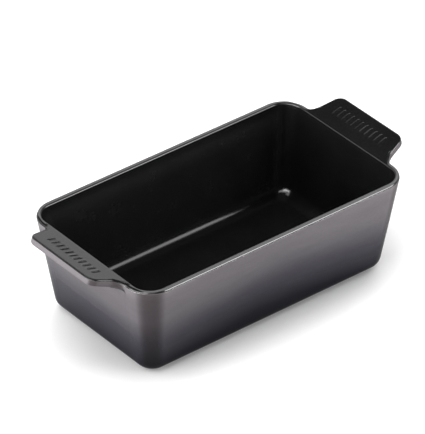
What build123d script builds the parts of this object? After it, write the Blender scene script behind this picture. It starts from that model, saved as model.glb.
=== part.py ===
from build123d import *
from math import cos, radians, sin, tan
import os

# A loaf pan: one iron casting, a tub with an upswept lug handle at each end, under three
# fired coats of enamel. The origin is the centre of the flat underside. +X runs along the
# length, +Y across the width and +Z up. All sizes are millimetres of the finished, coated
# pan unless a name says otherwise.

# Driving dimensions: the tub
opening_length = 229.0
opening_width = 127.0
rim_land = 4.4
rim_height = 77.0
end_draft = 8.9
side_draft = 8.5
rim_corner_radius = 20.3
base_corner_radius = 12.6
bottom_edge_round = 10.0
floor_thickness = 5.9
opening_corner_radius = 14.0
floor_corner_radius = 12.0
floor_round = 10.3
rim_outer_round = 1.3
rim_inner_round = 1.2

# Driving dimensions: the lug handles
handle_tilt = 17.0
handle_reach = 20.7
handle_thickness = 5.8
handle_tip_width = 68.4
handle_side_angle = 15.3
handle_tip_corner_radius = 7.8
handle_root_radius = 8.3
handle_edge_round = 1.1
root_start_u = 0.9
root_inset = 0.3

# Driving dimensions: the raised grip ribs on the handles
rib_count = 11
rib_pitch = 5.0
rib_width = 1.8
rib_length = 8.6
rib_height = 0.4
rib_centre_from_tip = 12.2

# Driving dimensions: the enamel
ground_coat_thickness = 0.15
cover_coat_thickness = 0.35
rim_seam_depth = 1.6
handle_seam_depth = 1.4

# Worked out from the sizes above
rim_half_length = opening_length / 2 + rim_land
rim_half_width = opening_width / 2 + rim_land
tip_x = rim_half_length + handle_reach
tilt_line_x = opening_length / 2 + 0.4
iron_depth = ground_coat_thickness + cover_coat_thickness
tip_u = (tip_x - tilt_line_x) / cos(radians(handle_tilt))
rim_u = (rim_half_length - root_inset - tilt_line_x) / cos(radians(handle_tilt))
half_root = handle_tip_width / 2 + (tip_u - rim_u) * tan(radians(handle_side_angle))
standing = (Align.CENTER, Align.CENTER, Align.MIN)
outward = (Align.MIN, Align.CENTER, Align.MIN)


def rounded_section(z, half_length, half_width, corner_radius):
    """A rounded rectangle lying at height z."""
    outline = RectangleRounded(2 * half_length, 2 * half_width, corner_radius)
    return Plane(origin=(0, 0, z)) * outline


def drafted_block(low_z, high_z, growth, corner_low, corner_high, half_length, half_width):
    """A block whose four walls lean out at the draft angles of the pan.

    half_length and half_width are those of the walls at rim height, and growth moves
    every wall outward, measured square to the wall.
    """
    sections = []
    for z, corner in ((low_z, corner_low), (high_z, corner_high)):
        below_rim = rim_height - z
        length = half_length - below_rim * tan(radians(end_draft))
        width = half_width - below_rim * tan(radians(side_draft))
        length += growth / cos(radians(end_draft))
        width += growth / cos(radians(side_draft))
        sections.append(rounded_section(z, length, width, corner + growth))
    return loft(sections, ruled=True)


def tub_outside(depth):
    """The outside of the tub, as a full block, at a depth below the finished surface."""
    block = drafted_block(
        depth,
        rim_height - depth,
        -depth,
        base_corner_radius,
        rim_corner_radius,
        rim_half_length,
        rim_half_width,
    )
    underside = block.faces().sort_by(Axis.Z)[0]
    return fillet(underside.edges(), bottom_edge_round - depth)


def cavity(depth):
    """The space inside the tub, down to a depth below its finished surface."""
    space = drafted_block(
        floor_thickness - depth,
        rim_height + 1.0,
        depth,
        floor_corner_radius,
        opening_corner_radius,
        opening_length / 2,
        opening_width / 2,
    )
    floor = space.faces().sort_by(Axis.Z)[0]
    return fillet(floor.edges(), floor_round + depth)


def tub(depth):
    """The tub at a depth below its finished surface, with both edges of its rim rounded."""
    shell = tub_outside(depth) - cavity(depth)
    rim = shell.faces().sort_by(Axis.Z)[-1]
    shell = fillet(rim.outer_wire().edges(), rim_outer_round - depth)
    rim = shell.faces().sort_by(Axis.Z)[-1]
    return fillet(rim.inner_wires()[0].edges(), rim_inner_round - depth)


def handle_plane(depth):
    """The plane of a handle's top at a depth, from its tilt line on the rim of the +X end.

    Its local x runs outward and up the handle, and its local z stands square to it.
    """
    tilt = radians(handle_tilt)
    tilt_line = Vector(tilt_line_x, 0, rim_height)
    along = Vector(cos(tilt), 0, sin(tilt))
    square = Vector(-sin(tilt), 0, cos(tilt))
    return Plane(origin=tilt_line - square * depth, x_dir=along, z_dir=square)


def handle_outline(depth):
    """The handle's plan on its own plane: tapering sides, round tip corners and round roots."""
    half_ledge = half_root + 2 * handle_root_radius
    points = [
        (root_start_u, half_ledge),
        (rim_u, half_ledge),
        (rim_u, half_root),
        (tip_u, handle_tip_width / 2),
    ]
    mirrored = [(x, -y) for x, y in reversed(points)]
    outline = make_face(Polyline(*points, *mirrored, close=True))
    tips = outline.vertices().group_by(Axis.X)[-1]
    outline = fillet(tips, handle_tip_corner_radius)
    outline = fillet(outline.vertices().filter_by(is_root), handle_root_radius)
    if depth > 0:
        outline = offset(outline, -depth)
    return outline


def is_root(vertex):
    """Whether a corner of the outline is one where a handle's side meets the rim."""
    return abs(vertex.X - rim_u) < 0.01 and abs(abs(vertex.Y) - half_root) < 0.01


def root_trim():
    """The space that a handle may fill, so that its roots run out slantwise over the rim."""
    half_end = rim_half_width - rim_corner_radius - 1.0
    points = [
        (root_start_u, half_root),
        (rim_u, half_end),
        (tip_u, 2 * half_end),
        (2 * tip_u, 0),
    ]
    mirrored = [(x, -y) for x, y in reversed(points[:-1])]
    outline = make_face(Polyline(*points, *mirrored, close=True))
    return extrude(outline, 2 * handle_thickness, both=True)


def grip_ribs(depth):
    """The row of raised ribs on the handle's plane, at a depth below their surface."""
    size = (rib_length - 2 * depth, rib_width - 2 * depth)
    centre_x = tip_u - rib_centre_from_tip
    ribs = []
    for index in range(rib_count):
        centre_y = (index - (rib_count - 1) / 2) * rib_pitch
        rib = Pos(centre_x, centre_y) * RectangleRounded(*size, size[1] * 0.45)
        ribs.append(extrude(rib, rib_height, both=True))
    return ribs


def handle(depth):
    """The lug handle of the +X end at a depth below its finished surface."""
    lug = extrude(handle_outline(depth), -(handle_thickness - 2 * depth))
    top = lug.faces().sort_by(Axis.Z)[-1]
    lug = fillet(top.edges(), handle_edge_round - depth)
    bottom = lug.faces().sort_by(Axis.Z)[0]
    lug = fillet(bottom.edges(), handle_edge_round - depth)
    lug = lug & root_trim()
    return handle_plane(depth) * (lug + grip_ribs(depth))


def pan(depth):
    """The whole pan, tub and both handles, at a depth below its finished surface."""
    lug = handle(depth) - cavity(depth)
    other_lug = lug.rotate(Axis.Z, 180)
    return tub(depth) + lug + other_lug


def black_region():
    """The space that holds the black enamel: the cavity, the rim and the tops of the handles.

    The black runs over the rounded outer edges and ends at a seam just below them.
    """
    middle = rim_land / 2
    reach = 2 * (tip_x + 1)
    lining = drafted_block(
        floor_thickness - 2 * cover_coat_thickness,
        rim_height + 1,
        0.0,
        floor_corner_radius,
        opening_corner_radius + middle,
        opening_length / 2 + middle,
        opening_width / 2 + middle,
    )
    over_rim = Box(2 * rim_half_length + 0.2, 2 * rim_half_width + 2, 4, align=standing)
    over_rim = Pos(0, 0, rim_height - rim_seam_depth) * over_rim
    over_handle = handle_plane(handle_seam_depth) * Box(reach, 2 * rim_half_width, 6, align=outward)
    other = over_handle.rotate(Axis.Z, 180)
    return lining + over_rim + over_handle + other


finished = pan(0.0)
under_cover = pan(cover_coat_thickness)
iron = pan(iron_depth)
lining = black_region()
cover = finished - under_cover

pieces = {
    "iron_casting": iron,
    "ground_coat": under_cover - iron,
    "black_enamel": cover & lining,
    "grey_enamel": cover - lining,
}

os.makedirs("parts", exist_ok=True)
for name, piece in pieces.items():
    export_step(piece, f"parts/{name}.step")
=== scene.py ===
import math

import bpy
import numpy as np
from mathutils import Matrix, Vector


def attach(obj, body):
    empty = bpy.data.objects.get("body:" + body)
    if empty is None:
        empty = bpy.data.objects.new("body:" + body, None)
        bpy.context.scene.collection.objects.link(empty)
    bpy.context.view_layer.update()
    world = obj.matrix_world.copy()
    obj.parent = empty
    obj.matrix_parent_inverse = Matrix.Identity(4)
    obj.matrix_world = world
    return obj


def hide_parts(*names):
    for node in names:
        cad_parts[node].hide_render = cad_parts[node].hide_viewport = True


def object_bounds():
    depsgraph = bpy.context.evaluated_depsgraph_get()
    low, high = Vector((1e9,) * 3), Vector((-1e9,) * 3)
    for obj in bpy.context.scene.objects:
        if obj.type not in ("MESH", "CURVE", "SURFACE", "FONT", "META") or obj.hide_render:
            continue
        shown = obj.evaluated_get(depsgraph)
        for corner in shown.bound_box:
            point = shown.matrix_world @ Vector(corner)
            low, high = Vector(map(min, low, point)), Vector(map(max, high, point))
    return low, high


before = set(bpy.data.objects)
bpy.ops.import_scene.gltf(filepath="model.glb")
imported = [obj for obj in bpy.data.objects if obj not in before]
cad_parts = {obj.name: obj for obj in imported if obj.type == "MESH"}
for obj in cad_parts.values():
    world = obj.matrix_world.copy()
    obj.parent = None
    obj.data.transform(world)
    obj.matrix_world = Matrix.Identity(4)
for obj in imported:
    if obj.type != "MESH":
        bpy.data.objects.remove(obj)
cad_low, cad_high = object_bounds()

# ---------------------------------------------------------------- sizes
# Lengths in this section are millimetres of the pan at its nominal size. UNIT turns them
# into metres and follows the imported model, so the pan keeps to the frame's own box.
NOMINAL_LENGTH = 282.03
UNIT = (cad_high.x - cad_low.x) / NOMINAL_LENGTH

# The tub. Halves are half lengths and half widths of rounded rectangles.
RIM_HEIGHT = 77.0
TOP_HEIGHT = 84.3
RIM_HALF = (118.9, 67.9)
RIM_CORNER = 20.3
BASE_HALF = (106.84, 56.39)
BASE_CORNER = 12.6
BASE_ROUND = 10.0
OPENING_HALF = (114.5, 63.5)
OPENING_CORNER = 14.0
FLOOR_HEIGHT = 5.9
FLOOR_HALF = (103.36, 52.88)
FLOOR_CORNER = 12.0
FLOOR_ROUND = 10.3
RIM_ROUND_IN = 1.2

# The rim's outer edge is a soft bevel along the walls and a rounder edge where the end walls
# turn into the corners, between these shares of the way round.
BEVEL_DOWN = 1.9
BEVEL_IN = 1.0
BEVEL_FLATNESS = 0.75
ROUNDER_EDGE = 2.6
ROUNDER_FROM = (0.85, 0.98)
ROUNDER_UNTIL = (1.15, 1.50)

# The lug handles. Local u runs outward and up a handle from its tilt line on the rim.
TILT = math.radians(17.0)
TILT_LINE_X = 114.9
TIP_U = 25.83
TIP_HALF = 34.2
TIP_CORNER = 7.8
SIDE_TURN = math.radians(74.7)
ROOT_RADIUS = 8.3
HANDLE_THICK = 5.8
HANDLE_ROUND_TOP = 1.2
HANDLE_ROUND_LOW = 1.6
HANDLE_WEB_ROUND = 4.5
WEB_INSET = 0.85
TOP_START_U = 1.2
# How far past the rim a handle's side has turned upright, and its top edge has its own round.
UPRIGHT_REACH = 5.0
OWN_EDGE_REACH = 3.0
# Where the gap under a handle is smaller than this, its underside melts into the wall.
MELTING_GAP = 2.5
WEB_SHARE_OF_GAP = 0.42
LOW_SHARE_OF_GAP = 0.35

# The raised grip ribs
RIB_COUNT = 11
RIB_PITCH = 5.0
RIB_HALF_WIDTH = 0.9
RIB_HALF_LENGTH = 4.3
RIB_CENTRE_U = TIP_U - 12.2
RIB_HEIGHT = 0.4

# The enamel
COVER_COAT = 0.35
ALL_COATS = 0.5

# How finely the pan is divided: steps along each stretch of its outline, then up its section.
TIP_CORNER_STEPS = 8
HANDLE_SIDE_STEPS = 5
ROOT_STEPS = 12
RIM_CORNER_STEPS = 20
SIDE_WALL_STEPS = 12
BIG_ROUND_STEPS = 10
WEB_STEPS = 7
LOW_EDGE_STEPS = 5
BEVEL_STEPS = 8
LIP_STEPS = 6
WALL_ROWS = 12
UNDERSIDE_ROWS = 4
HANDLE_SIDE_ROWS = 3
# The plain rows get closer together above this share of the wall.
CLOSE_ROWS_FROM = 0.86
# Shares of the way up a handle's side for the last rows before the round of its top edge.
# The seam between the grey and the black enamel comes after as many steps of the edge.
ROWS_TO_SEAM = (0.96, 0.98)
SEAM_STEP = len(ROWS_TO_SEAM)
# Shares of the way out from the middle for the rows on the flat underside and floor.
FLAT_ROWS = (0.55, 0.9, 0.97)
# Places of the rows across the top, close together at both ends of the ribs.
TOP_ROWS_U = (
    23.4, 21.5, 19.5, 18.6, 18.15, 17.8, 17.4, 16.9, 16.2, 15.0, RIB_CENTRE_U,
    12.3, 11.1, 10.4, 9.9, 9.5, 9.1, 8.7, 7.5, 6.0, 4.2, 2.6,
)
# Stations across one rib, as distances from its middle line, with one between it and the next.
RIB_STATIONS = (-0.95, -0.85, -0.55, 0.0, 0.55, 0.85, 0.95, 2.5)


# ---------------------------------------------------------------- small helpers
def ease(values, start, end):
    """0 up to the start, 1 past the end, and a smooth slope between them."""
    t = np.clip((values - start) / (end - start), 0.0, 1.0)
    return t * t * (3.0 - 2.0 * t)


def blend(first, last, share):
    """The given share of the way from one value, or ring, to another."""
    return first * (1.0 - share) + last * share


def between(first, last, shares):
    """Rings at the given shares of the way from one ring to another."""
    return [blend(first, last, t) for t in shares]


def after_first(steps, first=0.0, last=1.0):
    """Even steps from first to last, without the first."""
    return np.linspace(first, last, steps + 1)[1:]


def inner(rows):
    """Even shares of the way from 0 to 1, without both ends."""
    return np.linspace(0.0, 1.0, rows + 2)[1:-1]


def column(values):
    """One value for each station, shaped to multiply points."""
    return values[:, None]


def unit(vectors):
    return vectors / np.maximum(np.linalg.norm(vectors, axis=-1, keepdims=True), 1e-12)


def at_height(points, height):
    """Plan points lifted to a height."""
    return np.column_stack([points, np.broadcast_to(height, len(points))])


# ---------------------------------------------------------------- plan of the pan
# A station is one place round the pan. Stations run from the middle of the +X handle's tip
# to the middle of the +Y wall, and the other three quarters are mirror images. A station's
# share goes from 0 to 1 along the end wall, 1 to 2 round the corner and 2 to 3 along the side.
def rounded_rectangle(half, radius, share):
    """Points and outward directions of a rounded rectangle's quarter at the given shares."""
    turn = np.clip(share - 1.0, 0.0, 1.0) * math.pi / 2
    along_end = np.clip(share, 0.0, 1.0)
    left_of_side = 1.0 - np.clip(share - 2.0, 0.0, 1.0)
    x = (half[0] - radius) * left_of_side + radius * np.cos(turn)
    y = (half[1] - radius) * along_end + radius * np.sin(turn)
    return np.stack([x, y], 1), np.stack([np.cos(turn), np.sin(turn)], 1)


def tip_stations():
    """Distances from the handle's middle line, close together where the ribs rise."""
    stations = []
    for rib in range(RIB_COUNT // 2 + 1):
        stations += [rib * RIB_PITCH + step for step in RIB_STATIONS]
    return [v for v in stations if v >= 0.0]


def arc_points(centre_u, centre_v, radius, angles):
    """Points (u, v) of an arc and the directions from its centre."""
    normals = [(math.cos(angle), math.sin(angle)) for angle in angles]
    points = [(centre_u + radius * u, centre_v + radius * v) for u, v in normals]
    return points, normals


def handle_outline():
    """The handle's outline from the middle of its tip to the rim, in the handle's plane.

    Gives local (u, v) points, outward directions and each point's share of the end wall.
    """
    tangent = 1.0 / math.tan((math.pi - SIDE_TURN) / 2)
    rim_u = (RIM_HALF[0] - TILT_LINE_X) / math.cos(TILT)
    half_root = TIP_HALF + (TIP_U - rim_u) * math.tan(math.pi / 2 - SIDE_TURN)
    corner_v = TIP_HALF - TIP_CORNER * tangent
    root_v = half_root + ROOT_RADIUS * tangent

    tip = [(TIP_U, v) for v in tip_stations()] + [(TIP_U, corner_v)]
    corner_turn = after_first(TIP_CORNER_STEPS, 0.0, SIDE_TURN)
    corner, corner_normals = arc_points(TIP_U - TIP_CORNER, corner_v, TIP_CORNER, corner_turn)
    root_turn = np.linspace(SIDE_TURN, 0.0, ROOT_STEPS + 1)
    root, root_normals = arc_points(rim_u + ROOT_RADIUS, root_v, -ROOT_RADIUS, root_turn)
    side = between(np.array(corner[-1]), np.array(root[0]), after_first(HANDLE_SIDE_STEPS))
    points = np.array(tip + corner + side + root[1:])
    normals = [(1.0, 0.0)] * len(tip) + corner_normals
    normals += [corner_normals[-1]] * len(side) + root_normals[1:]

    # The tip's stations stand straight out from the end wall, and the rest fan out evenly.
    end_half = RIM_HALF[1] - RIM_CORNER
    lengths = np.linalg.norm(np.diff(points, axis=0), axis=1)
    way = np.concatenate([[0.0], np.cumsum(lengths)])
    last = len(tip) - 1
    fan = (way - way[last]) / (way[-1] - way[last])
    straight = points[:, 1] / end_half
    fanned = straight[last] + fan * (straight[-1] - straight[last])
    shares = np.where(np.arange(len(points)) <= last, straight, fanned)
    return points, np.array(normals), shares


# ---------------------------------------------------------------- sections of the pan
def corner_arc(corner, back, ahead, radius, steps):
    """Rings that round a corner of every section, tangent to its two directions."""
    cosine = np.clip((back * ahead).sum(1), -1.0, 1.0)
    half_angle = np.arccos(cosine) / 2
    reach = column(radius / np.tan(half_angle))
    centre = corner + unit(back + ahead) * column(radius / np.sin(half_angle))
    start = corner + back * reach - centre
    end = corner + ahead * reach - centre
    sweep = column(math.pi - 2 * half_angle)
    rings = []
    for t in np.linspace(0.0, 1.0, steps + 1):
        weight_start = np.sin((1 - t) * sweep) / np.sin(sweep)
        weight_end = np.sin(t * sweep) / np.sin(sweep)
        rings.append(centre + start * weight_start + end * weight_end)
    return rings


def bevelled_edge(corner, back, ahead, flatness, steps):
    """Rings that ease an edge between two offsets: a soft curve at flatness 0, a bevel at 1."""
    rings = []
    for t in np.linspace(0.0, 1.0, steps + 1):
        curve = corner + back * (1 - t) ** 2 + ahead * t ** 2
        bevel = corner + back * (1 - t) + ahead * t
        rings.append(blend(curve, bevel, flatness))
    return rings


def draft_of(top, bottom, normal, height):
    """How far a wall leans out, from its plan at the top and at the bottom."""
    return np.arctan(((top - bottom) * normal).sum(1) / height)


def leaning(normal, draft):
    """The direction up a wall that leans out."""
    return np.column_stack([normal * column(np.sin(draft)), np.cos(draft)])


def rib_rise(u, v):
    """Height of the raised ribs, round-backed bars with round ends, above the handle's plane."""
    limit = (RIB_COUNT // 2) * RIB_PITCH
    nearest = np.clip(np.round(v / RIB_PITCH) * RIB_PITCH, -limit, limit)
    past_end = np.maximum(np.abs(u - RIB_CENTRE_U) - (RIB_HALF_LENGTH - RIB_HALF_WIDTH), 0.0)
    distance = np.hypot(past_end, v - nearest) / RIB_HALF_WIDTH
    return RIB_HEIGHT * np.clip(1.0 - distance ** 2, 0.0, 1.0)


class Quarter:
    """The +X +Y quarter of the pan as sections, one at each station.

    Each value is an array with one row for each station, and a ring is such an array of points.
    """

    def __init__(self):
        outline, outline_normals, handle_share = handle_outline()
        corner_share = 1 + after_first(RIM_CORNER_STEPS)
        side_share = 2 + after_first(SIDE_WALL_STEPS)
        self.share = np.concatenate([handle_share, [1.0], corner_share, side_share])
        self.handle_end = len(handle_share)
        self.rim, self.rim_normal = rounded_rectangle(RIM_HALF, RIM_CORNER, self.share)
        self.base, self.base_normal = rounded_rectangle(BASE_HALF, BASE_CORNER, self.share)
        self.opening, self.opening_normal = rounded_rectangle(OPENING_HALF, OPENING_CORNER, self.share)
        self.bottom, self.bottom_normal = rounded_rectangle(FLOOR_HALF, FLOOR_CORNER, self.share)

        # The handle's plane: its lift fades out where the roots run into the rim.
        edge_y = self.then_rim(outline[:, 1], self.rim[:, 1])
        root_end = outline[-1, 1]
        root_begin = root_end - ROOT_RADIUS * math.sin(SIDE_TURN)
        self.lift = self.on_handle(1.0 - ease(edge_y, root_begin, root_end))
        self.tilt = np.arctan(self.lift * math.tan(TILT))
        level = np.zeros_like(self.tilt)
        self.along = np.column_stack([np.cos(self.tilt), level, np.sin(self.tilt)])
        self.square = np.column_stack([-np.sin(self.tilt), level, np.cos(self.tilt)])

        # The outer edge of the top, before it is rounded, and its outward directions.
        edge_x = self.then_rim(TILT_LINE_X + outline[:, 0] * math.cos(TILT), self.rim[:, 0])
        self.edge = np.column_stack([edge_x, edge_y, self.plane_height(edge_x)])
        self.outward = self.tilted(self.then_rim(outline_normals, self.rim_normal))
        self.reach = self.on_handle(edge_x - self.rim[:, 0])
        self.draft = draft_of(self.rim, self.base, self.rim_normal, RIM_HEIGHT)

    def then_rim(self, handle_values, rim_values):
        """The handle's own values, followed by the rim's for the stations past the handle."""
        return np.concatenate([handle_values, rim_values[self.handle_end:]])

    def on_handle(self, values):
        """The values, with 0 past the handle."""
        values = values.copy()
        values[self.handle_end:] = 0.0
        return values

    def everywhere(self, value):
        """The same value at every station."""
        return np.full(len(self.share), value)

    def plane_height(self, x):
        """Height of the top's plane, which tilts up along the handle."""
        return RIM_HEIGHT + self.lift * (x - TILT_LINE_X) * math.tan(TILT)

    def tilted(self, plan):
        """Plan directions laid onto the top's plane."""
        across = np.array([0.0, 1.0, 0.0])
        return plan[:, :1] * self.along + plan[:, 1:] * across

    def wall_at(self, height):
        """Points of the outer wall, before its edges are rounded, at a height."""
        share = column(np.broadcast_to(height, len(self.share)) / RIM_HEIGHT)
        return np.column_stack([blend(self.base, self.rim, share), share * RIM_HEIGHT])

    def under_round(self):
        """The round between the underside and the walls."""
        corner = at_height(self.base, 0.0)
        inward = at_height(-self.base_normal, 0.0)
        up = leaning(self.base_normal, self.draft)
        return corner_arc(corner, inward, up, self.everywhere(BASE_ROUND), BIG_ROUND_STEPS)

    def outside(self, under_round):
        """Rings up the walls and round the handle's underside, then over the top's outer edge."""
        upright = ease(self.reach, 0.0, UPRIGHT_REACH)
        side_draft = self.draft * (1.0 - upright)
        down = -self.square * column(np.cos(side_draft)) - self.outward * column(np.sin(side_draft))
        low_edge = self.edge + down * column(HANDLE_THICK / np.cos(side_draft))
        web_height = self.plane_height(RIM_HALF[0] - WEB_INSET) - HANDLE_THICK / np.cos(self.tilt)
        web = self.wall_at(web_height)
        gap = self.on_handle(np.linalg.norm(low_edge - web, axis=1))
        web_radius = np.clip(WEB_SHARE_OF_GAP * gap, 1e-3, HANDLE_WEB_ROUND)
        low_radius = np.clip(LOW_SHARE_OF_GAP * gap, 1e-3, HANDLE_ROUND_LOW)
        wall_down = unit(self.wall_at(0.0) - web)
        web_out = unit(self.tilted(self.rim_normal))
        web_arc = corner_arc(web, wall_down, web_out, web_radius, WEB_STEPS)
        low_arc = corner_arc(low_edge, -self.outward, -down, low_radius, LOW_EDGE_STEPS)
        top_arc = self.outer_edge(down, low_arc[-1])

        wall_rows = inner(WALL_ROWS)
        handle_rows = between(under_round[-1], web_arc[0], wall_rows) + web_arc
        handle_rows += between(web_arc[-1], low_arc[0], inner(UNDERSIDE_ROWS)) + low_arc
        handle_rows += between(low_arc[-1], top_arc[0], inner(HANDLE_SIDE_ROWS))
        close_rows = np.linspace(CLOSE_ROWS_FROM, 1.0, len(handle_rows) - WALL_ROWS + 1)[:-1]
        plain_shares = np.concatenate([wall_rows * CLOSE_ROWS_FROM, close_rows])
        plain_rows = between(under_round[-1], top_arc[0], plain_shares)
        shaped = column(ease(gap, 0.0, MELTING_GAP))
        rows = [blend(plain, row, shaped) for plain, row in zip(plain_rows, handle_rows)]
        return rows, top_arc

    def outer_edge(self, down, side_start):
        """The outer edge of the top, bevelled or rounder on the rim and round on the handle."""
        rounder = ease(self.share, *ROUNDER_FROM) * (1.0 - ease(self.share, *ROUNDER_UNTIL))
        back = down * column(blend(BEVEL_DOWN, ROUNDER_EDGE, rounder))
        ahead = -self.outward * column(blend(BEVEL_IN, ROUNDER_EDGE, rounder))
        flatness = column(BEVEL_FLATNESS * (1.0 - rounder))
        rim_arc = bevelled_edge(self.edge, back, ahead, flatness, BEVEL_STEPS)

        # The seam is part of the way up the rim's bevel, and at the foot of the handle's round.
        round_steps = BEVEL_STEPS - SEAM_STEP
        radius = self.everywhere(HANDLE_ROUND_TOP)
        handle_arc = corner_arc(self.edge, down, -self.outward, radius, round_steps)
        handle_arc = between(side_start, handle_arc[0], ROWS_TO_SEAM) + handle_arc
        on_lug = column(ease(self.reach, 0.0, OWN_EDGE_REACH))
        return [blend(low, high, on_lug) for low, high in zip(rim_arc, handle_arc)]

    def top(self, outer, lip):
        """Rows across the rim and the handle, with the ribs raised."""
        start_u = TIP_U - HANDLE_ROUND_TOP
        rows = between(outer, lip, [(start_u - u) / (start_u - TOP_START_U) for u in TOP_ROWS_U])
        for row in rows:
            u = (row[:, 0] - TILT_LINE_X) / np.cos(TILT)
            row += self.square * column(self.on_handle(rib_rise(u, row[:, 1])))
        return rows

    def inner_arcs(self):
        """The rounds at the top and at the bottom of the inner wall."""
        draft = draft_of(self.opening, self.bottom, self.opening_normal, RIM_HEIGHT - FLOOR_HEIGHT)
        up = leaning(self.opening_normal, draft)
        lip = np.column_stack([self.opening, self.plane_height(self.opening[:, 0])])
        lip_out = unit(self.tilted(self.opening_normal))
        lip_arc = corner_arc(lip, lip_out, -up, self.everywhere(RIM_ROUND_IN), LIP_STEPS)
        corner = at_height(self.bottom, FLOOR_HEIGHT)
        inward = at_height(-self.bottom_normal, 0.0)
        floor_arc = corner_arc(corner, up, inward, self.everywhere(FLOOR_ROUND), BIG_ROUND_STEPS)
        return lip_arc, floor_arc


def quarter_rings():
    """Rings of points for the +X +Y quarter, from the underside out, up, over and in.

    Also gives the number of the ring where the grey coat ends and the black one starts.
    """
    quarter = Quarter()
    under_round = quarter.under_round()
    walls, top_arc = quarter.outside(under_round)
    lip_arc, floor_arc = quarter.inner_arcs()
    under = [under_round[0] * (share, share, 1.0) for share in FLAT_ROWS]
    floor = [floor_arc[-1] * (share, share, 1.0) for share in reversed(FLAT_ROWS)]
    rings = under + under_round + walls
    seam = len(rings) + SEAM_STEP
    rings += top_arc + quarter.top(top_arc[-1], lip_arc[0]) + lip_arc
    rings += between(lip_arc[-1], floor_arc[0], inner(WALL_ROWS)) + floor_arc + floor
    return np.array(rings), seam


def whole_rings(quarter):
    """All four quarters, mirrored and joined in order round the pan, in metres."""
    flip_x = np.array([-1.0, 1.0, 1.0])
    flip_y = np.array([1.0, -1.0, 1.0])
    half = np.concatenate([quarter, (quarter * flip_x)[:, -2::-1]], axis=1)
    return np.concatenate([half, (half * flip_y)[:, -2:0:-1]], axis=1) * UNIT


# ---------------------------------------------------------------- meshes
def band_faces(low, high, stations, turned):
    """Quads between two rings, given as the numbers of their first points."""
    faces = []
    for station in range(stations):
        following = (station + 1) % stations
        quad = (low + station, low + following, high + following, high + station)
        faces.append(quad[::-1] if turned else quad)
    return faces


def cap_face(first, stations, turned):
    """One flat face across a ring, given as the number of its first point."""
    face = tuple(first + station for station in range(stations))
    return face if turned else face[::-1]


def surface(rings, start=0, turned=False, caps=(False, False)):
    """Points and faces of a stack of rings, with flat caps on its first or last ring."""
    count, stations = rings.shape[:2]
    firsts = [start + ring * stations for ring in range(count)]
    faces = []
    for low, high in zip(firsts, firsts[1:]):
        faces += band_faces(low, high, stations, turned)
    if caps[0]:
        faces.append(cap_face(firsts[0], stations, turned))
    if caps[1]:
        faces.append(cap_face(firsts[-1], stations, not turned))
    return rings.reshape(-1, 3), faces


def make_mesh(name, points, faces):
    mesh = bpy.data.meshes.new(name)
    mesh.from_pydata([tuple(point) for point in points], [], faces)
    return mesh


def make_piece(name, points, faces):
    mesh = make_mesh(name, points, faces)
    mesh.validate()
    mesh.shade_smooth()
    piece = bpy.data.objects.new(name, mesh)
    bpy.context.scene.collection.objects.link(piece)
    return piece


def ring_normals(rings):
    """Outward directions at every point of the finished surface."""
    mesh = make_mesh("finished", *surface(rings, caps=(True, True)))
    normals = np.array([tuple(normal.vector) for normal in mesh.vertex_normals])
    bpy.data.meshes.remove(mesh)
    return normals.reshape(rings.shape)


def coat(name, outer, inner, caps):
    """A closed thin shell between two stacks of rings, joined at the end that has no cap."""
    points_out, faces_out = surface(outer, 0, False, caps)
    start = len(points_out)
    points_in, faces_in = surface(inner, start, True, caps)
    count, stations = outer.shape[:2]
    faces = faces_out + faces_in
    if not caps[1]:
        last = (count - 1) * stations
        faces += band_faces(last, start + last, stations, False)
    if not caps[0]:
        faces += band_faces(0, start, stations, True)
    return make_piece(name, np.concatenate([points_out, points_in]), faces)


def make_pan():
    """The casting and its three coats, each with its finish."""
    quarter, seam = quarter_rings()
    finished = whole_rings(quarter)
    normals = ring_normals(finished)
    under_cover = finished - normals * (COVER_COAT * UNIT)
    under_all = finished - normals * (ALL_COATS * UNIT)
    to_seam = slice(None, seam + 1)
    from_seam = slice(seam, None)

    grey = coat("enamel_grey", finished[to_seam], under_cover[to_seam], (True, False))
    black = coat("enamel_black", finished[from_seam], under_cover[from_seam], (False, True))
    ground = coat("enamel_ground", under_cover, under_all, (True, True))
    iron = make_piece("casting", *surface(under_all, caps=(True, True)))

    for piece, node, slot, finish in (
        (grey, "grey_enamel", "grey_enamel", grey_enamel),
        (black, "black_enamel", "black_enamel", black_enamel),
        (ground, "ground_coat", "ground_coat", ground_coat),
        (iron, "iron_casting", "iron", cast_iron),
    ):
        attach(piece, "root")
        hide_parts(node)
        piece.data.materials.append(finish())


# ---------------------------------------------------------------- materials
X_AXIS = (1.0, 0.0, 0.0)
Y_AXIS = (0.0, 1.0, 0.0)
Z_AXIS = (0.0, 0.0, 1.0)
GLASS_IOR = 1.5
# Where most values of a noise lie.
USUAL_NOISE = (0.3, 0.7)

# The grey enamel's colour by share of the pan's height.
GREY_BY_HEIGHT = (
    (0.0, (0.001, 0.001, 0.004)),
    (0.15, (0.003, 0.003, 0.009)),
    (0.42, (0.057, 0.054, 0.068)),
    (0.65, (0.160, 0.148, 0.162)),
    (0.91, (0.205, 0.186, 0.200)),
    (0.96, (0.240, 0.220, 0.233)),
)
# The darker grey reaches higher in the middle of the length than at the ends: the shift of the colours'
# height.
HEIGHT_SHIFT_MIDDLE = -0.045
HEIGHT_SHIFT_ENDS = 0.085
PAN_END_X = 120.0 * UNIT
# Painted shade: the grey is darkened towards the -X end, down to this factor, standing in for light that
# falls more from the +X side.
PAINTED_SHADE_X = -100.0 * UNIT
PAINTED_SHADE_FACTOR = 0.8
# Painted shade: the upright corners which face this way, towards the camera's side, are darkened and
# browned, standing in for the light that falls on the walls from the sides but not on the corners.
SHADED_CORNER_FACING = (0.63, 0.777, 0.0)
SHADED_CORNER_BAND = (0.81, 0.985)
CORNER_SHADE_TINT = (0.36, 0.325, 0.33, 1.0)
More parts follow.
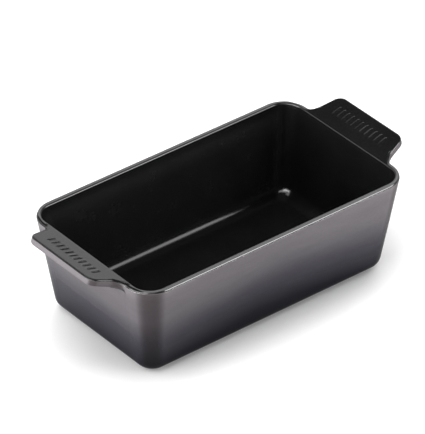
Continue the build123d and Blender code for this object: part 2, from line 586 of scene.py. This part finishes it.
# Painted light: the lining is painted lighter than the rim and the handles, a hair on the floor and most
# on the long walls, to lift its shade.
LINING_FROM = (RIM_HEIGHT - 2.0) * UNIT
LINING_FULL = (RIM_HEIGHT - 10.0) * UNIT
LONG_WALL_FACING = (0.75, 0.97)
FLOOR_PAINTED_LIGHT = 1.05
LONG_WALL_PAINTED_LIGHT = 3.6


class Nodes:
    """A short way to write the node graph of a material or of the world."""

    def __init__(self, owner, output, place):
        self.owner = owner
        owner.use_nodes = True
        self.tree = owner.node_tree
        self.tree.nodes.clear()
        self.output = self.tree.nodes.new(output)
        self.place = self.tree.nodes.new("ShaderNodeTexCoord").outputs[place]

    def add(self, kind, inputs=None, **settings):
        """A node with its settings, and its inputs linked to sockets or set to values."""
        node = self.tree.nodes.new(kind)
        for key, value in settings.items():
            setattr(node, key, value)
        for key, value in (inputs or {}).items():
            self.feed(node.inputs[key], value)
        return node

    def feed(self, socket, value):
        if isinstance(value, bpy.types.NodeSocket):
            self.tree.links.new(value, socket)
        else:
            socket.default_value = value

    def noise(self, scale, detail=2.0, roughness=0.5, stretch=None):
        """Noise over the object. The stretch scales each axis of its pattern."""
        place = self.place
        if stretch is not None:
            mapping = self.add("ShaderNodeMapping", {"Vector": self.place, "Scale": stretch})
            place = mapping.outputs["Vector"]
        inputs = {"Vector": place, "Scale": scale, "Detail": detail, "Roughness": roughness}
        return self.add("ShaderNodeTexNoise", inputs).outputs["Fac"]

    def spread(self, value, low, high, to_low, to_high, kind="LINEAR"):
        """Spreads the range from low to high over the range from to_low to to_high."""
        inputs = {"Value": value, "From Min": low, "From Max": high, "To Min": to_low, "To Max": to_high}
        return self.add("ShaderNodeMapRange", inputs, interpolation_type=kind).outputs["Result"]

    def noise_range(self, value, to_low, to_high):
        """Spreads a noise over a range."""
        return self.spread(value, *USUAL_NOISE, to_low, to_high)

    def soft(self, value, low, high, to_low=0.0, to_high=1.0):
        """The same as spread, with soft ends."""
        return self.spread(value, low, high, to_low, to_high, "SMOOTHSTEP")

    def maths(self, operation, first, second):
        return self.add("ShaderNodeMath", {0: first, 1: second}, operation=operation).outputs[0]

    def magnitude(self, value):
        return self.maths("ABSOLUTE", value, 0.0)

    def times(self, *values):
        result = values[0]
        for value in values[1:]:
            result = self.maths("MULTIPLY", result, value)
        return result

    def along(self, axis, vector=None):
        """How far the place, or another vector, lies along an axis."""
        inputs = {0: vector or self.place, 1: axis}
        return self.add("ShaderNodeVectorMath", inputs, operation="DOT_PRODUCT").outputs["Value"]

    def facing(self, axis):
        """How squarely the surface faces an axis, with all four quarters of the pan alike."""
        normal = self.add("ShaderNodeNewGeometry").outputs["Normal"]
        folded = self.add("ShaderNodeVectorMath", {0: normal}, operation="ABSOLUTE")
        return self.along(axis, folded.outputs["Vector"])

    def ramp(self, value, stops):
        node = self.add("ShaderNodeValToRGB", {"Fac": value})
        elements = node.color_ramp.elements
        while len(elements) < len(stops):
            elements.new(0.5)
        for element, (position, colour) in zip(elements, stops):
            element.position = position
            element.color = (*colour, 1.0)
        return node.outputs["Color"]

    def mix(self, blend_type, factor, first, second):
        """Two colours mixed. The node's colour sockets come after those for other kinds."""
        node = self.add("ShaderNodeMix", data_type="RGBA", blend_type=blend_type)
        self.feed(node.inputs[0], factor)
        self.feed(node.inputs[6], first)
        self.feed(node.inputs[7], second)
        return node.outputs[2]

    def tint(self, colour, tint, factor=1.0):
        """The colour multiplied by a tint, as far as the factor says."""
        return self.mix("MULTIPLY", factor, colour, tint)

    def grey(self, value):
        return self.add("ShaderNodeCombineXYZ", {0: value, 1: value, 2: value}).outputs["Vector"]

    def bump(self, height, distance, strength, normal=None):
        inputs = {"Height": height, "Distance": distance, "Strength": strength}
        if normal is not None:
            inputs["Normal"] = normal
        return self.add("ShaderNodeBump", inputs).outputs["Normal"]

    def finish(self, **inputs):
        """Ends a material with its main shader."""
        named = {key.replace("_", " "): value for key, value in inputs.items()}
        shader = self.add("ShaderNodeBsdfPrincipled", named)
        self.tree.links.new(shader.outputs[0], self.output.inputs["Surface"])
        return self.owner


def material(name):
    return Nodes(bpy.data.materials.new(name), "ShaderNodeOutputMaterial", "Object")


def grey_enamel():
    """Glossy fired enamel, sprayed from warm grey at the rim to near black at the base, with painted
    shade on the upright corners and towards the -X end.
    """
    n = material("grey_enamel")
    share = n.maths("DIVIDE", n.along(Z_AXIS), TOP_HEIGHT * UNIT)
    drift = n.noise(scale=14.0, detail=3.0, roughness=0.6, stretch=(0.6, 0.6, 1.4))
    share = n.maths("ADD", share, n.noise_range(drift, -0.03, 0.03))
    from_middle = n.magnitude(n.along(X_AXIS))
    shift = n.soft(from_middle, 0.0, PAN_END_X, HEIGHT_SHIFT_MIDDLE, HEIGHT_SHIFT_ENDS)
    share = n.maths("ADD", share, shift)
    colour = n.ramp(share, GREY_BY_HEIGHT)
    spatter = n.noise(scale=1600.0, detail=4.0, roughness=0.7)
    colour = n.tint(colour, n.ramp(spatter, ((0.3, (0.78, 0.78, 0.79)), (0.7, (1.0, 1.0, 1.0)))))
    brushed = n.noise(scale=70.0, detail=4.0, roughness=0.65, stretch=(0.3, 0.3, 1.6))
    colour = n.tint(colour, n.ramp(brushed, ((0.35, (0.90, 0.90, 0.90)), (0.65, (1.0, 1.0, 1.0)))))
    # Painted shade, darker towards the -X end.
    painted_side_shade = n.soft(n.along(X_AXIS), PAINTED_SHADE_X, PAN_END_X, PAINTED_SHADE_FACTOR, 1.0)
    colour = n.tint(colour, n.grey(painted_side_shade))
    # Painted shade on the upright corners.
    corner = n.soft(n.facing(SHADED_CORNER_FACING), *SHADED_CORNER_BAND)
    colour = n.tint(colour, CORNER_SHADE_TINT, corner)
    peel = n.noise(scale=260.0)
    grain = n.noise(scale=1900.0)
    normal = n.bump(peel, distance=0.00005, strength=0.5)
    normal = n.bump(grain, distance=0.00001, strength=0.4, normal=normal)
    roughness = n.noise_range(grain, 0.13, 0.2)
    return n.finish(Base_Color=colour, Roughness=roughness, Normal=normal, IOR=GLASS_IOR)


def black_enamel():
    """Satin black fired enamel with the fine pebbled grain of a cooking surface, and painted light on
    the lining.
    """
    n = material("black_enamel")
    cloud = n.noise(scale=45.0, detail=3.0, roughness=0.6)
    colour = n.ramp(cloud, ((0.3, (0.0036, 0.0036, 0.0037)), (0.7, (0.0050, 0.0050, 0.0052))))
    # Painted light, lifting the lining's shade.
    inside = n.soft(n.along(Z_AXIS), LINING_FULL, LINING_FROM, 1.0, 0.0)
    shade = n.soft(n.facing(Y_AXIS), *LONG_WALL_FACING, FLOOR_PAINTED_LIGHT, LONG_WALL_PAINTED_LIGHT)
    colour = n.tint(colour, n.grey(shade), inside)
    pebble = n.noise(scale=900.0, detail=3.0, roughness=0.55)
    fine = n.noise(scale=2600.0)
    normal = n.bump(pebble, distance=0.00003, strength=0.5)
    normal = n.bump(fine, distance=0.000005, strength=0.5, normal=normal)
    roughness = n.noise_range(pebble, 0.14, 0.2)
    return n.finish(Base_Color=colour, Roughness=roughness, Normal=normal, IOR=GLASS_IOR)


def ground_coat():
    """Thin blue-black glass with the small pits and specks of a first firing."""
    n = material("ground_coat")
    speck = n.noise(scale=1200.0, detail=4.0, roughness=0.7)
    colour = n.ramp(speck, ((0.4, (0.006, 0.007, 0.012)), (0.75, (0.03, 0.032, 0.04))))
    normal = n.bump(speck, distance=0.00002, strength=0.6)
    roughness = n.noise_range(speck, 0.25, 0.5)
    return n.finish(Base_Color=colour, Roughness=roughness, Normal=normal, IOR=GLASS_IOR)


def cast_iron():
    """Sand-cast grey iron, shot blasted to a dull even grain."""
    n = material("cast_iron")
    grain = n.noise(scale=800.0, detail=5.0, roughness=0.65)
    stain = n.noise(scale=60.0, detail=3.0, roughness=0.6)
    colour = n.ramp(stain, ((0.3, (0.10, 0.10, 0.105)), (0.7, (0.17, 0.165, 0.165))))
    normal = n.bump(grain, distance=0.00012, strength=0.8)
    roughness = n.noise_range(grain, 0.5, 0.75)
    return n.finish(Base_Color=colour, Metallic=1.0, Roughness=roughness, Normal=normal)


# ---------------------------------------------------------------- floor
FLOOR_HALF_SIZE = 6.0
FLOOR_GAP = 0.0002
# The floor looks white, and throws back less light than that onto the pan.
FLOOR_LIT = (0.31, 0.31, 0.31, 1.0)


def white_floor():
    """Plain pale studio floor, all but even."""
    n = material("white_floor")
    tone = n.noise(scale=3.0)
    pale = n.ramp(tone, ((0.3, (0.94, 0.94, 0.94)), (0.7, (0.95, 0.95, 0.95))))
    seen = n.add("ShaderNodeLightPath").outputs["Is Camera Ray"]
    colour = n.mix("MIX", seen, FLOOR_LIT, pale)
    return n.finish(Base_Color=colour, Roughness=0.9, Specular_IOR_Level=0.1)


def make_floor():
    """A wide plain floor, a hair below the pan."""
    signs = ((-1, -1), (1, -1), (1, 1), (-1, 1))
    corners = [(x * FLOOR_HALF_SIZE, y * FLOOR_HALF_SIZE, 0.0) for x, y in signs]
    floor = bpy.data.objects.new("floor", make_mesh("floor", corners, [(0, 1, 2, 3)]))
    floor.location.z = cad_low.z - FLOOR_GAP
    bpy.context.scene.collection.objects.link(floor)
    floor.data.materials.append(white_floor())


# ---------------------------------------------------------------- camera and light
CAMERA_AZIMUTH = math.radians(-39.03)
CAMERA_ELEVATION = math.radians(34.62)
CAMERA_ROLL = math.radians(0.22)
CAMERA_LENS = 402.9
CAMERA_DISTANCE = 3427.0 * UNIT
CAMERA_TARGET = Vector((13.8, 24.3, 38.5)) * UNIT
CAMERA_CLIP = (0.1, 50.0)

# Strengths of the studio's light. The background's own colour is 0.8, so 1.25 is full white.
BACKDROP = 1.25
WALL_LOW = 1.1
WALL_HIGH = 0.06
WALL_FADE = (0.28, 0.52)
BEHIND_CAMERA = 0.35
BEHIND_FADE = (0.2, 0.85)
OVERHEAD = 6.6
OVERHEAD_AT = Vector((0.0, 0.2, 1.0))
OVERHEAD_FADE = (0.86, 0.97)
# Panels: azimuth, half width in degrees, lowest and highest sine of elevation, strength, and
# what sees it: matt surfaces, glossy ones or both.
PANELS = (
    (-50.0, 14.0, 0.44, 0.67, 5.4, "both"),
    (-54.0, 18.0, -0.1, 0.40, 17.0, "glossy"),
    (162.0, 20.0, 0.26, 0.80, 3.5, "glossy"),
    (-60.0, 35.0, -0.1, 0.14, 17.0, "matt"),
    (20.0, 30.0, 0.2, 0.6, 6.0, "matt"),
    (165.0, 28.0, 0.5, 0.8, 4.5, "matt"),
    (170.0, 20.0, -0.1, 0.20, 33.0, "both"),
    (200.0, 20.0, 0.1, 0.5, 10.0, "glossy"),
    (-135.0, 25.0, 0.25, 0.65, 5.0, "glossy"),
    (45.0, 13.0, 0.44, 0.64, 3.2, "glossy"),
    (126.0, 22.0, 0.35, 0.62, 2.2, "glossy"),
)
PANEL_FRONT_FADE = (0.0, 0.1)
PANEL_SIDE_FADE = 0.05
PANEL_END_FADE = 0.03
# A ray's depth on its way from its first bounce is 2 in the world's shader.
FIRST_BOUNCE_BELOW = 2.5


def panel_shape(n, azimuth, half_width, low, high):
    """1 in an upright panel at a compass range and between two sines of elevation, 0 outside."""
    turn = math.radians(azimuth)
    ahead = n.along((math.cos(turn), math.sin(turn), 0.0))
    sideways = n.magnitude(n.along((-math.sin(turn), math.cos(turn), 0.0)))
    side = math.sin(math.radians(half_width))
    up = n.along(Z_AXIS)
    return n.times(
        n.soft(ahead, *PANEL_FRONT_FADE),
        n.soft(sideways, side - PANEL_SIDE_FADE, side + PANEL_SIDE_FADE, 1.0, 0.0),
        n.soft(up, low - PANEL_END_FADE, low + PANEL_END_FADE),
        n.soft(up, high - PANEL_END_FADE, high + PANEL_END_FADE, 1.0, 0.0),
    )


def make_world():
    """A white studio: a pale wall all round, a soft box overhead and upright panels at the sides."""
    world = bpy.data.worlds.new("studio")
    bpy.context.scene.world = world
    n = Nodes(world, "ShaderNodeOutputWorld", "Generated")
    camera_side = (math.sin(CAMERA_AZIMUTH), -math.cos(CAMERA_AZIMUTH), 0.0)
    dark_side = n.soft(n.along(camera_side), *BEHIND_FADE, 1.0, BEHIND_CAMERA)
    wall = n.times(n.soft(n.along(Z_AXIS), *WALL_FADE, WALL_LOW, WALL_HIGH), dark_side)
    path = n.add("ShaderNodeLightPath").outputs
    first = n.maths("LESS_THAN", path["Ray Depth"], FIRST_BOUNCE_BELOW)
    seen_by = {
        "both": first,
        "glossy": n.times(first, path["Is Glossy Ray"]),
        "matt": n.maths("SUBTRACT", 1.0, path["Is Glossy Ray"]),
    }
    overhead = n.soft(n.along(tuple(OVERHEAD_AT.normalized())), *OVERHEAD_FADE, 0.0, OVERHEAD)
    light = n.maths("ADD", wall, n.times(overhead, seen_by["matt"]))
    for azimuth, half_width, low, high, strength, seer in PANELS:
        shape = panel_shape(n, azimuth, half_width, low, high)
        light = n.maths("ADD", light, n.times(shape, strength, seen_by[seer]))
    mix = {"Factor": path["Is Camera Ray"], "A": light, "B": BACKDROP}
    light = n.add("ShaderNodeMix", mix, data_type="FLOAT").outputs["Result"]
    background = n.add("ShaderNodeBackground", {"Strength": light})
    n.tree.links.new(background.outputs[0], n.output.inputs["Surface"])


def make_camera():
    """A long lens that looks down across the corner between the front and the -X end."""
    back = Vector((
        math.sin(CAMERA_AZIMUTH) * math.cos(CAMERA_ELEVATION),
        -math.cos(CAMERA_AZIMUTH) * math.cos(CAMERA_ELEVATION),
        math.sin(CAMERA_ELEVATION),
    ))
    camera = bpy.data.objects.new("camera", bpy.data.cameras.new("camera"))
    camera.data.lens = CAMERA_LENS
    camera.data.clip_start, camera.data.clip_end = CAMERA_CLIP
    place = Matrix.Translation(CAMERA_TARGET + back * CAMERA_DISTANCE)
    level = (-back).to_track_quat("-Z", "Y").to_matrix().to_4x4()
    camera.matrix_world = place @ level @ Matrix.Rotation(CAMERA_ROLL, 4, "Z")
    bpy.context.scene.collection.objects.link(camera)
    bpy.context.scene.camera = camera


# ---------------------------------------------------------------- the scene
make_pan()
make_floor()
make_world()
make_camera()
bpy.context.scene.view_settings.view_transform = "Standard"
